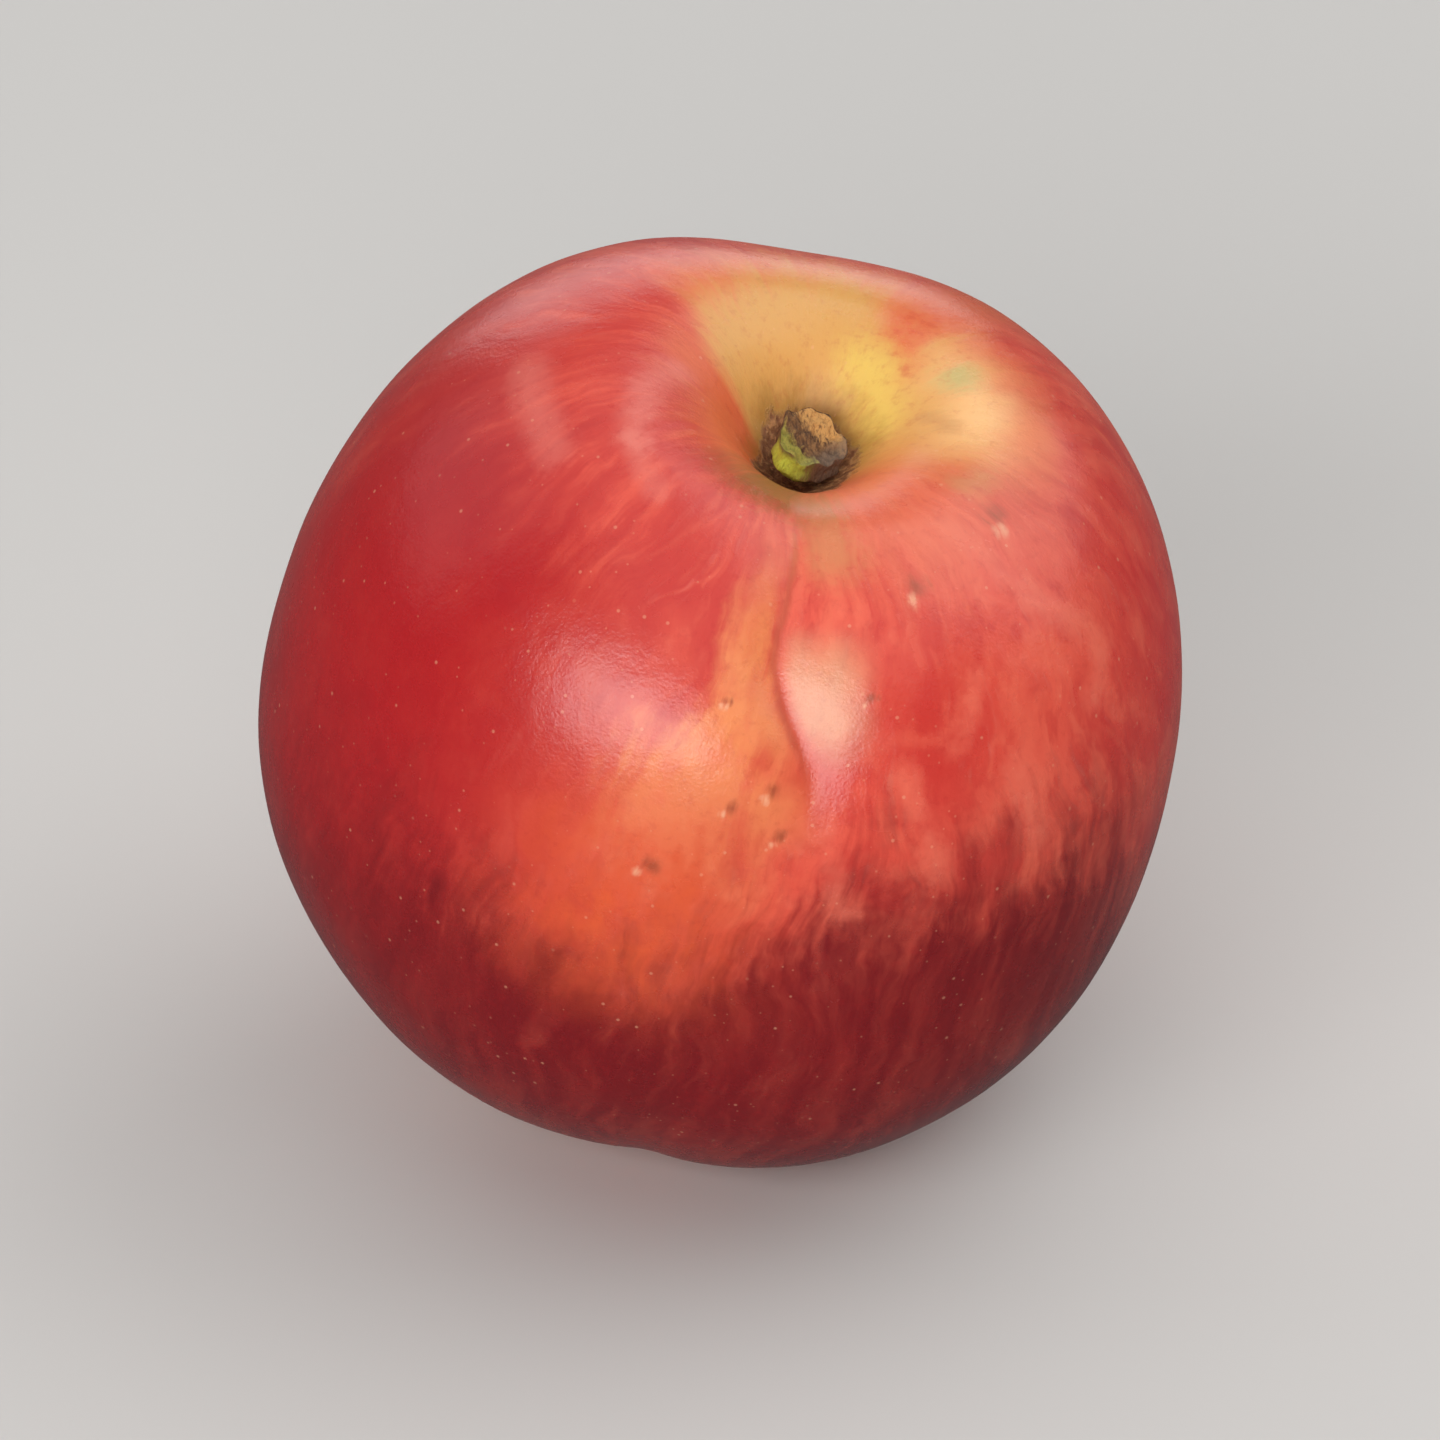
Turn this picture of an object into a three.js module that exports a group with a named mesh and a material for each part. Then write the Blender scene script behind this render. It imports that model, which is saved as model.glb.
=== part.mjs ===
// A nectarine, one whole fruit as picked, with the broken stub of its stalk in the stem hollow.
// Millimetres, +Z up. The origin lies on the surface that the fruit rests on, under the middle of its box.
import * as THREE from "three";

// --- Driving dimensions: the fruit ------------------------------------------------------------
// The skin is a distance from the middle of the fruit, worked out for each direction. A direction
// has a polar angle, down from the stem end, and an azimuth, round from the seam.
const HALF_WIDTH = 35; // across the cheeks, at the widest level
const STEM_HALF_HEIGHT = 36.4; // of the plain body over that level, before the hollow is sunk in it
const STEM_HALF_SQUARENESS = 2.36; // 2 is an ellipse, more has fuller shoulders
const BLOSSOM_HALF_HEIGHT = 33;
const BLOSSOM_HALF_SQUARENESS = 2.04;

// Faint unevenness of a fruit that grew pressed against its neighbours, as shares of the radius.
const OVAL = 0.007; // deeper from seam to back than across the cheeks
const SIDES = 0.012; // three faint sides
const SIDES_TURN = degrees(35); // azimuth of the first swelling between them
const LEAN_OF_SHOULDERS = -0.015; // the shoulders stand higher on one side
const LEAN_OF_SHOULDERS_TURN = degrees(-35);

// The seam runs down one side from the stem hollow to the blossom end, with a slight bend on the way.
const SEAM_AZIMUTH_AT_STEM = degrees(-2);
const SEAM_BEND = degrees(8.5); // how far it then bends towards the right cheek
const SEAM_BEND_START = degrees(39);
const SEAM_BEND_END = degrees(56);
const SEAM_RETURN_START = degrees(58); // below this it comes back to azimuth 0
const SEAM_RETURN_END = degrees(85);
const VALLEY_DEPTH = 1.25; // the broad valley between the two cheeks
const VALLEY_HALF_WIDTH = 8.5;
const GROOVE_DEPTH = 0.42; // the fine groove along the middle of the valley
const GROOVE_HALF_WIDTH = 2.2;
const SEAM_START = 2.5; // the seam fades in over this stretch, from the axis outwards
const SEAM_FULL = 11;
const SEAM_MIDDLE_SHARE = 0.6; // how deep it is half way down, and how much is added at each end
const SEAM_STEM_SHARE = 0.6;
const SEAM_STEM_AT = degrees(26);
const SEAM_STEM_SPREAD = degrees(22);
const SEAM_TIP_SHARE = 0.6;
const SEAM_TIP_AT = degrees(165);
const SEAM_TIP_SPREAD = degrees(25);
const FOLD_DEPTH = 1.15; // the crease on the shoulder, where the valley is drawn in like a fold
const FOLD_LEFT_WIDTH = 2.6; // its left bank is steeper than its right one
const FOLD_RIGHT_WIDTH = 5.2;
const FOLD_STEEPNESS = 1.5;
const FOLD_AT = degrees(44);
const FOLD_SPREAD = degrees(12);

// A shallow dip crosses the shoulder on the side away from the seam.
const BACK_DIP_DEPTH = 1.7;
const BACK_DIP_HALF_WIDTH = 11;
const BACK_DIP_AT = degrees(40);
const BACK_DIP_SPREAD = degrees(26);
const BACK_DIP_START = 2;
const BACK_DIP_FULL = 12;

// The stem hollow is a funnel, with a steeper pit at its bottom where the stalk stood. Both half
// widths are taken on the round body over the hollow, and are about a quarter less down inside it.
const FUNNEL_DEPTH = 8.6;
const FUNNEL_HALF_WIDTH = 10;
const FUNNEL_STEEPNESS = 2.3; // 2 is a soft bell, more is a flatter floor in steeper walls
const PIT_DEPTH = 2.4;
const PIT_HALF_WIDTH = 7.2;
const PIT_STEEPNESS = 5;

// The blossom end has a shallow dimple with the dried tip of the style in it.
const DIMPLE_DEPTH = 0.6;
const DIMPLE_HALF_WIDTH = 6;
const STYLE_TIP_HEIGHT = 0.9;
const STYLE_TIP_HALF_WIDTH = 1.7;

// The pose at rest: the fruit lies a little on one side, on a flat pressed into its skin.
const LEAN_TO_SEAM = degrees(10); // the stem end leans towards the seam side, -Y
const LEAN_TO_CHEEK = degrees(12.5); // and towards the right cheek, +X
const FLAT_DEPTH = 0.85; // how far the skin is pressed in at the resting spot
const FLAT_ROUNDING = 0.15; // half height of the soft edge round that spot

// --- Driving dimensions: the stalk stub -------------------------------------------------------
const STUB_GAP = 0.75; // between the foot of the stub and the bottom of its pit
const STUB_HEIGHT = 3.4;
const STUB_FOOT_RADIUS = 1.3;
const STUB_COLLAR_RADIUS = 2.6; // the widest place, just above the foot
const STUB_COLLAR_HEIGHT = 1.4;
const STUB_WAIST_RADIUS = 2.45;
const STUB_END_RADIUS = 2.6;
const STUB_OFFSET_X = 0.2; // off the middle of the pit, towards the right cheek
const STUB_OFFSET_Y = -0.2; // and the seam, where negative
const STUB_TILT = degrees(7); // its own lean towards the right cheek
const BREAK_SLANT = 1.0; // the broken end is this much higher at the back than at the front
const BREAK_TEAR = 0.3; // height of the torn fibres round the broken end
const BREAK_DISH = 0.55; // how far the middle of the broken end lies under its edge
const BARK_RIDGE_SHARE = 0.05; // height of a bark ridge as a share of the stub's radius

// --- Fineness ---------------------------------------------------------------------------------
const FRUIT_ROWS = 58;
const FRUIT_COLUMNS = 72;
const ROWS_TO_ENDS = 0.62; // how strongly the rows gather at the two ends
const COLUMNS_TO_SEAM = 0.6; // how strongly the columns gather at the seam
const STUB_ROWS = 9;
const STUB_COLUMNS = 28;
const BREAK_ROWS = 3;

const skin = new THREE.MeshStandardMaterial({ color: 0xc8473a, roughness: 0.38, metalness: 0 });
const bark = new THREE.MeshStandardMaterial({ color: 0x5c4028, roughness: 0.9, metalness: 0 });

function degrees(angle) {
  return THREE.MathUtils.degToRad(angle);
}

// 1 in the middle of a bump, falling away on both sides.
function bump(distance, halfWidth, steepness = 2) {
  return Math.exp(-(Math.abs(distance / halfWidth) ** steepness));
}

// --- The fruit --------------------------------------------------------------------------------

// The distance of the plain round body from its middle: a superellipse in each half, then the
// unevenness round it.
function bodyRadius(polar, azimuth) {
  const c = Math.cos(polar);
  const s = Math.sin(polar);
  const halfHeight = c > 0 ? STEM_HALF_HEIGHT : BLOSSOM_HALF_HEIGHT;
  const squareness = c > 0 ? STEM_HALF_SQUARENESS : BLOSSOM_HALF_SQUARENESS;
  const profile =
    ((s / HALF_WIDTH) ** squareness + (Math.abs(c) / halfHeight) ** squareness) **
    (-1 / squareness);
  const unevenness =
    OVAL * Math.cos(2 * azimuth) * s ** 2 +
    SIDES * Math.cos(3 * (azimuth - SIDES_TURN)) * s ** 3 +
    LEAN_OF_SHOULDERS * Math.cos(azimuth - LEAN_OF_SHOULDERS_TURN) * s * c;
  return profile * (1 + unevenness);
}

// The azimuth of the seam's line at a polar angle.
function seamAzimuth(polar) {
  const { smoothstep } = THREE.MathUtils;
  return (
    SEAM_AZIMUTH_AT_STEM +
    SEAM_BEND * smoothstep(polar, SEAM_BEND_START, SEAM_BEND_END) -
    (SEAM_BEND + SEAM_AZIMUTH_AT_STEM) * smoothstep(polar, SEAM_RETURN_START, SEAM_RETURN_END)
  );
}

// How deep the seam is at a place on the body. across is the distance to the right of the seam's
// line, and towards is how far the place lies on the seam side.
function seamDepth(polar, across, towards) {
  const share =
    SEAM_MIDDLE_SHARE +
    SEAM_STEM_SHARE * bump(polar - SEAM_STEM_AT, SEAM_STEM_SPREAD) +
    SEAM_TIP_SHARE * bump(polar - SEAM_TIP_AT, SEAM_TIP_SPREAD);
  const section =
    VALLEY_DEPTH * bump(across, VALLEY_HALF_WIDTH) + GROOVE_DEPTH * bump(across, GROOVE_HALF_WIDTH);
  const foldWidth = across < 0 ? FOLD_LEFT_WIDTH : FOLD_RIGHT_WIDTH;
  const fold =
    FOLD_DEPTH * bump(across, foldWidth, FOLD_STEEPNESS) * bump(polar - FOLD_AT, FOLD_SPREAD);
  return (share * section + fold) * THREE.MathUtils.smoothstep(towards, SEAM_START, SEAM_FULL);
}

function backDipDepth(polar, across, towards) {
  return (
    BACK_DIP_DEPTH *
    bump(across, BACK_DIP_HALF_WIDTH) *
    bump(polar - BACK_DIP_AT, BACK_DIP_SPREAD) *
    THREE.MathUtils.smoothstep(-towards, BACK_DIP_START, BACK_DIP_FULL)
  );
}

function skinRadius(polar, azimuth) {
  const body = bodyRadius(polar, azimuth);
  const fromAxis = body * Math.sin(polar);
  const fromSeam = azimuth - seamAzimuth(polar);
  const seam = seamDepth(polar, fromAxis * Math.sin(fromSeam), fromAxis * Math.cos(fromSeam));
  const backDip = backDipDepth(polar, fromAxis * Math.sin(azimuth), fromAxis * Math.cos(azimuth));
  const radius = body - seam - backDip;
  if (polar < Math.PI / 2)
    return (
      radius -
      FUNNEL_DEPTH * bump(fromAxis, FUNNEL_HALF_WIDTH, FUNNEL_STEEPNESS) -
      PIT_DEPTH * bump(fromAxis, PIT_HALF_WIDTH, PIT_STEEPNESS)
    );
  return (
    radius -
    DIMPLE_DEPTH * bump(fromAxis, DIMPLE_HALF_WIDTH) +
    STYLE_TIP_HEIGHT * bump(fromAxis, STYLE_TIP_HALF_WIDTH)
  );
}

// A point of the skin in the fruit's own frame: stem end up +Z, seam towards -Y.
function skinPoint(polar, azimuth) {
  const radius = skinRadius(polar, azimuth);
  const fromAxis = radius * Math.sin(polar);
  return new THREE.Vector3(
    fromAxis * Math.sin(azimuth),
    -fromAxis * Math.cos(azimuth),
    radius * Math.cos(polar),
  );
}

// The polar angle at a share of the way from the stem end to the blossom end, close-set at both.
function polarAt(share) {
  return Math.PI * (share - (ROWS_TO_ENDS * Math.sin(2 * Math.PI * share)) / (2 * Math.PI));
}

// The azimuth at a share of the way round, close-set at the seam, where it is 0.
function azimuthAt(share) {
  const even = Math.PI * (2 * share - 1);
  return even - COLUMNS_TO_SEAM * Math.sin(even);
}

// Presses a height above the resting surface flat where it is under it, with a soft edge.
function pressedHeight(height) {
  if (height <= -FLAT_ROUNDING) return 0;
  if (height >= FLAT_ROUNDING) return height;
  return (height + FLAT_ROUNDING) ** 2 / (4 * FLAT_ROUNDING);
}

// A closed surface from rings of points, each with the same number, between two end points.
// The first end point is the top one, and each ring goes anticlockwise seen from above.
function closedSurface(topPoint, rings, bottomPoint) {
  const columns = rings[0].length;
  const points = [topPoint, ...rings.flat(), bottomPoint];
  const at = (row, column) => 1 + row * columns + (column % columns);
  const faces = [];
  for (let column = 0; column < columns; column++) {
    faces.push(0, at(0, column), at(0, column + 1));
    for (let row = 0; row < rings.length - 1; row++) {
      const [a, b] = [at(row, column), at(row, column + 1)];
      const [c, d] = [at(row + 1, column), at(row + 1, column + 1)];
      faces.push(a, c, d, a, d, b);
    }
    faces.push(points.length - 1, at(rings.length - 1, column + 1), at(rings.length - 1, column));
  }
  const geometry = new THREE.BufferGeometry().setFromPoints(points).setIndex(faces);
  geometry.computeVertexNormals();
  return geometry;
}

// The fruit's surface in its own frame, before it is set down.
function skinGeometry() {
  const rings = [];
  for (let row = 1; row < FRUIT_ROWS; row++) {
    const ring = [];
    for (let column = 0; column < FRUIT_COLUMNS; column++)
      ring.push(skinPoint(polarAt(row / FRUIT_ROWS), azimuthAt(column / FRUIT_COLUMNS)));
    rings.push(ring);
  }
  return closedSurface(skinPoint(0, 0), rings, skinPoint(Math.PI, 0));
}

// Where the middle of the fruit is once it leans and rests, with its box over the origin.
function restingPlace(geometry, lean) {
  const leaning = geometry.clone().applyQuaternion(lean);
  leaning.computeBoundingBox();
  const { min, max } = leaning.boundingBox;
  return new THREE.Vector3(-(min.x + max.x) / 2, -(min.y + max.y) / 2, -min.z - FLAT_DEPTH);
}

// Presses the resting flat into the geometry, which stays in the fruit's own frame.
function pressFlat(geometry, place, lean) {
  const position = geometry.getAttribute("position");
  const back = lean.clone().invert();
  const point = new THREE.Vector3();
  for (let i = 0; i < position.count; i++) {
    point.fromBufferAttribute(position, i).applyQuaternion(lean).add(place);
    point.z = pressedHeight(point.z);
    point.sub(place).applyQuaternion(back);
    position.setXYZ(i, point.x, point.y, point.z);
  }
  geometry.computeVertexNormals();
}

// --- The stalk stub ---------------------------------------------------------------------------

// The stub's radius at a height above its foot: foot, collar, waist and broken end, joined smoothly.
function stubProfile(height) {
  const { smoothstep, lerp } = THREE.MathUtils;
  if (height < STUB_COLLAR_HEIGHT)
    return lerp(STUB_FOOT_RADIUS, STUB_COLLAR_RADIUS, height / STUB_COLLAR_HEIGHT);
  const waistHeight = (STUB_COLLAR_HEIGHT + STUB_HEIGHT) / 2;
  const toWaist = smoothstep(height, STUB_COLLAR_HEIGHT, waistHeight);
  const toEnd = smoothstep(height, waistHeight, STUB_HEIGHT);
  return lerp(lerp(STUB_COLLAR_RADIUS, STUB_WAIST_RADIUS, toWaist), STUB_END_RADIUS, toEnd);
}

// The outline of the stub's section: a few uneven ridges, as a share of its radius.
function barkFactor(angle) {
  const ridges = Math.cos(3 * angle + 0.6) + 0.7 * Math.cos(5 * angle) + 0.5 * Math.cos(9 * angle + 2);
  return 1 + BARK_RIDGE_SHARE * ridges;
}

// The height of the torn edge round the broken end. The angle goes round from +X to +Y, the back.
function tornEdge(angle) {
  const slant = (BREAK_SLANT * Math.sin(angle)) / 2;
  const tears = BREAK_TEAR * (Math.sin(5 * angle + 1) + Math.sin(8 * angle));
  return STUB_HEIGHT + slant + tears / 2;
}

function stubRing(heightOf, radiusOf) {
  const ring = [];
  for (let column = 0; column < STUB_COLUMNS; column++) {
    const angle = (2 * Math.PI * column) / STUB_COLUMNS;
    const radius = radiusOf(angle);
    ring.push(
      new THREE.Vector3(radius * Math.cos(angle), radius * Math.sin(angle), heightOf(angle)),
    );
  }
  return ring;
}

function stubGeometry() {
  const rings = [];
  // The broken end, from its dished middle out to the torn edge.
  for (let row = 1; row <= BREAK_ROWS; row++) {
    const share = row / (BREAK_ROWS + 1);
    const dish = BREAK_DISH * (1 - share ** 2);
    rings.push(
      stubRing(
        (angle) => STUB_HEIGHT + share * (tornEdge(angle) - STUB_HEIGHT) - dish,
        (angle) => share * STUB_END_RADIUS * barkFactor(angle),
      ),
    );
  }
  // The bark, from the torn edge down to the foot.
  for (let row = 0; row <= STUB_ROWS; row++) {
    const share = 1 - row / STUB_ROWS;
    rings.push(
      stubRing(
        (angle) => share * tornEdge(angle),
        (angle) => stubProfile(share * STUB_HEIGHT) * barkFactor(angle),
      ),
    );
  }
  const middle = new THREE.Vector3(0, 0, STUB_HEIGHT - BREAK_DISH);
  return closedSurface(middle, rings, new THREE.Vector3(0, 0, 0));
}

// --- The whole nectarine ----------------------------------------------------------------------
const lean = new THREE.Quaternion().setFromEuler(
  new THREE.Euler(LEAN_TO_SEAM, LEAN_TO_CHEEK, 0, "XYZ"),
);
const fruitGeometry = skinGeometry();
const place = restingPlace(fruitGeometry, lean);
pressFlat(fruitGeometry, place, lean);

const fruit = new THREE.Mesh(fruitGeometry, skin);
fruit.name = "fruit";

const stalkStub = new THREE.Mesh(stubGeometry(), bark);
stalkStub.name = "stalk_stub";
stalkStub.position.set(STUB_OFFSET_X, STUB_OFFSET_Y, skinRadius(0, 0) + STUB_GAP);
stalkStub.rotation.y = STUB_TILT;

const leaningFruit = new THREE.Group();
leaningFruit.quaternion.copy(lean);
leaningFruit.position.copy(place);
leaningFruit.add(fruit, stalkStub);

const nectarine = new THREE.Group();
nectarine.name = "nectarine";
nectarine.add(leaningFruit);

export default nectarine;
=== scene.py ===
"""The looks of the nectarine: the fruit's skin and the stub of its stalk, on a pale studio floor.

Sizes in the sections below are in millimetres and degrees, as the fruit is thought of, and become
metres where a mesh is made. The fruit's own frame has the stem end up +Z, the seam towards -Y and
the right cheek towards +X; a direction in it has a polar angle, down from the stem end, and an
azimuth, round from the seam.
"""
import math

import bpy
import numpy as np
from mathutils import Euler, Matrix, Vector, noise


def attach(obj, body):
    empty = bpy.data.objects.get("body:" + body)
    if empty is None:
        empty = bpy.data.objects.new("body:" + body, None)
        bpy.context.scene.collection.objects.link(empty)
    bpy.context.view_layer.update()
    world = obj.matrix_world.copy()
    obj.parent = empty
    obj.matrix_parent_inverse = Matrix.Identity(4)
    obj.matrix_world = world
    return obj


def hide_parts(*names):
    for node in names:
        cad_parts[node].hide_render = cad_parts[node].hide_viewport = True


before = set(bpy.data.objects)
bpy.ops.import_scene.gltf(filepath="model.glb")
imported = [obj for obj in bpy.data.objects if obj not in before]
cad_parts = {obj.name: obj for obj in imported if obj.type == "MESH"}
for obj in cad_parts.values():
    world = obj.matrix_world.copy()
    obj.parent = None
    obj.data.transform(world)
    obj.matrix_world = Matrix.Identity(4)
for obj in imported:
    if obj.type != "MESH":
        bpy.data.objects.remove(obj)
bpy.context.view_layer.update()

MM = 0.001

# --- The fruit's form, the same dimensions as its solid ---------------------------------------
HALF_WIDTH = 35.0
STEM_HALF_HEIGHT = 36.4
STEM_HALF_SQUARENESS = 2.36
BLOSSOM_HALF_HEIGHT = 33.0
BLOSSOM_HALF_SQUARENESS = 2.04
# Faint unevenness, as shares of the radius.
OVAL = 0.007
SIDES = 0.012
SIDES_TURN = 35.0
LEAN_OF_SHOULDERS = -0.015
LEAN_OF_SHOULDERS_TURN = -35.0
# The seam: its bent line, a broad valley with a fine groove in it, and a crease on the shoulder.
SEAM_AZIMUTH_AT_STEM = -2.0
SEAM_BEND = 8.5
SEAM_BEND_START, SEAM_BEND_END = 39.0, 56.0
SEAM_RETURN_START, SEAM_RETURN_END = 58.0, 85.0
VALLEY_DEPTH = 1.25
VALLEY_HALF_WIDTH = 8.5
GROOVE_DEPTH = 0.42
GROOVE_HALF_WIDTH = 2.2
SEAM_START = 2.5
SEAM_FULL = 11.0
SEAM_MIDDLE_SHARE = 0.6
SEAM_STEM_SHARE, SEAM_STEM_AT, SEAM_STEM_SPREAD = 0.6, 26.0, 22.0
SEAM_TIP_SHARE, SEAM_TIP_AT, SEAM_TIP_SPREAD = 0.6, 165.0, 25.0
FOLD_DEPTH = 1.15
FOLD_LEFT_WIDTH, FOLD_RIGHT_WIDTH = 2.6, 5.2
FOLD_STEEPNESS = 1.5
FOLD_AT, FOLD_SPREAD = 44.0, 12.0
# The shallow dip across the shoulder at the back.
BACK_DIP_DEPTH = 1.7
BACK_DIP_HALF_WIDTH = 11.0
BACK_DIP_AT, BACK_DIP_SPREAD = 40.0, 26.0
BACK_DIP_START, BACK_DIP_FULL = 2.0, 12.0
# The stem hollow with its pit, and the dimple with the style's tip at the blossom end.
FUNNEL_DEPTH, FUNNEL_HALF_WIDTH, FUNNEL_STEEPNESS = 8.6, 10.0, 2.3
PIT_DEPTH, PIT_HALF_WIDTH, PIT_STEEPNESS = 2.4, 7.2, 5.0
DIMPLE_DEPTH, DIMPLE_HALF_WIDTH = 0.6, 6.0
STYLE_TIP_HEIGHT, STYLE_TIP_HALF_WIDTH = 0.9, 1.7
# The pose at rest, on a flat pressed into the skin.
LEAN_TO_SEAM = 10.0
LEAN_TO_CHEEK = 12.5
FLAT_DEPTH = 0.85
FLAT_ROUNDING = 0.15

# Fineness of the skin's mesh, and how strongly its rows gather at the two ends.
FRUIT_ROWS = 240
FRUIT_COLUMNS = 384
ROWS_TO_ENDS = 0.62


def bump(distance, half_width, steepness=2.0):
    return np.exp(-np.abs(distance / half_width) ** steepness)


def smoothstep(value, low, high):
    share = np.clip((value - low) / (high - low), 0.0, 1.0)
    return share * share * (3.0 - 2.0 * share)


def body_radius(polar, azimuth):
    """The plain round body: a superellipse in each half, with faint unevenness round it."""
    c, s = np.cos(polar), np.sin(polar)
    half_height = np.where(c > 0, STEM_HALF_HEIGHT, BLOSSOM_HALF_HEIGHT)
    squareness = np.where(c > 0, STEM_HALF_SQUARENESS, BLOSSOM_HALF_SQUARENESS)
    across, along = (s / HALF_WIDTH) ** squareness, (np.abs(c) / half_height) ** squareness
    profile = (across + along) ** (-1 / squareness)
    unevenness = (
        OVAL * np.cos(2 * azimuth) * s**2
        + SIDES * np.cos(3 * (azimuth - math.radians(SIDES_TURN))) * s**3
        + LEAN_OF_SHOULDERS * np.cos(azimuth - math.radians(LEAN_OF_SHOULDERS_TURN)) * s * c
    )
    return profile * (1 + unevenness)


def seam_depth(angle, across, towards):
    """How deep the seam is, across millimetres to the right of its line."""
    share = (
        SEAM_MIDDLE_SHARE
        + SEAM_STEM_SHARE * bump(angle - SEAM_STEM_AT, SEAM_STEM_SPREAD)
        + SEAM_TIP_SHARE * bump(angle - SEAM_TIP_AT, SEAM_TIP_SPREAD)
    )
    valley = VALLEY_DEPTH * bump(across, VALLEY_HALF_WIDTH)
    groove = GROOVE_DEPTH * bump(across, GROOVE_HALF_WIDTH)
    fold_width = np.where(across < 0, FOLD_LEFT_WIDTH, FOLD_RIGHT_WIDTH)
    fold = FOLD_DEPTH * bump(across, fold_width, FOLD_STEEPNESS) * bump(angle - FOLD_AT, FOLD_SPREAD)
    return (share * (valley + groove) + fold) * smoothstep(towards, SEAM_START, SEAM_FULL)


def skin_radius(polar, azimuth):
    """The skin's distance from the middle of the fruit, in each direction."""
    body = body_radius(polar, azimuth)
    angle = np.degrees(polar)
    from_axis = body * np.sin(polar)
    seam_azimuth = (
        SEAM_AZIMUTH_AT_STEM
        + SEAM_BEND * smoothstep(angle, SEAM_BEND_START, SEAM_BEND_END)
        - (SEAM_BEND + SEAM_AZIMUTH_AT_STEM) * smoothstep(angle, SEAM_RETURN_START, SEAM_RETURN_END)
    )
    from_seam = azimuth - np.radians(seam_azimuth)
    seam = seam_depth(angle, from_axis * np.sin(from_seam), from_axis * np.cos(from_seam))
    back_dip = (
        BACK_DIP_DEPTH
        * bump(from_axis * np.sin(azimuth), BACK_DIP_HALF_WIDTH)
        * bump(angle - BACK_DIP_AT, BACK_DIP_SPREAD)
        * smoothstep(-from_axis * np.cos(azimuth), BACK_DIP_START, BACK_DIP_FULL)
    )
    funnel = FUNNEL_DEPTH * bump(from_axis, FUNNEL_HALF_WIDTH, FUNNEL_STEEPNESS)
    pit = PIT_DEPTH * bump(from_axis, PIT_HALF_WIDTH, PIT_STEEPNESS)
    dimple = DIMPLE_DEPTH * bump(from_axis, DIMPLE_HALF_WIDTH)
    style_tip = STYLE_TIP_HEIGHT * bump(from_axis, STYLE_TIP_HALF_WIDTH)
    at_end = np.where(polar < math.pi / 2, funnel + pit, dimple - style_tip)
    return body - seam - back_dip - at_end


def directions(polar, azimuth):
    return np.stack(
        [np.sin(polar) * np.sin(azimuth), -np.sin(polar) * np.cos(azimuth), np.cos(polar)], axis=-1
    )


def pressed(height):
    """Presses heights above the floor flat where they are under it, with a soft edge."""
    soft = (height + FLAT_ROUNDING) ** 2 / (4 * FLAT_ROUNDING)
    return np.where(height <= -FLAT_ROUNDING, 0.0, np.where(height >= FLAT_ROUNDING, height, soft))


LEAN = Euler((math.radians(LEAN_TO_SEAM), math.radians(LEAN_TO_CHEEK), 0.0), "XYZ").to_matrix()


def resting_place():
    """Where the middle of the fruit is, with its box over the origin and its flat on the floor."""
    polar, azimuth = np.meshgrid(np.linspace(0, math.pi, 361), np.linspace(-math.pi, math.pi, 361))
    points = directions(polar, azimuth) * skin_radius(polar, azimuth)[..., None]
    leaning = points.reshape(-1, 3) @ np.array(LEAN).T
    low, high = leaning.min(axis=0), leaning.max(axis=0)
    return np.array([-(low[0] + high[0]) / 2, -(low[1] + high[1]) / 2, -low[2] - FLAT_DEPTH])


PLACE = resting_place()

# --- Fine relief that the solid leaves to this script: always sunk in, so the fruit keeps its box
WAVE_DEPTH, WAVE_LENGTH = 0.30, 17.0
DENT_DEPTH, DENT_LENGTH = 0.10, 5.0
RELIEF_START, RELIEF_FULL = 3.0, 9.0
CORK_DEPTH, CORK_LENGTH, CORK_RADIUS, CORK_STEEPNESS = 0.5, 1.3, 8.0, 6.0


def noise_over(points, length, seed):
    """Smooth noise between 0 and 1 at each point, with features of about that length."""
    offset = Vector((seed * 17.3, seed * 7.9, seed * 3.1))
    scale = 1.0 / length
    return np.array([0.5 + 0.5 * noise.noise(Vector(p) * scale + offset) for p in points])


def closed_mesh(name, points, rings, columns):
    """A smooth closed mesh from a first point, rings of points and a last point, in millimetres."""
    faces = []
    bottom, last = 1 + (rings - 1) * columns, 1 + rings * columns
    for column in range(columns):
        beside = (column + 1) % columns
        faces.append((0, 1 + column, 1 + beside))
        for upper in range(1, bottom, columns):
            lower = upper + columns
            faces.append((upper + column, lower + column, lower + beside, upper + beside))
        faces.append((last, bottom + beside, bottom + column))
    mesh = bpy.data.meshes.new(name)
    mesh.from_pydata((points * MM).tolist(), [], faces)
    mesh.polygons.foreach_set("use_smooth", [True] * len(mesh.polygons))
    return mesh


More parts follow.
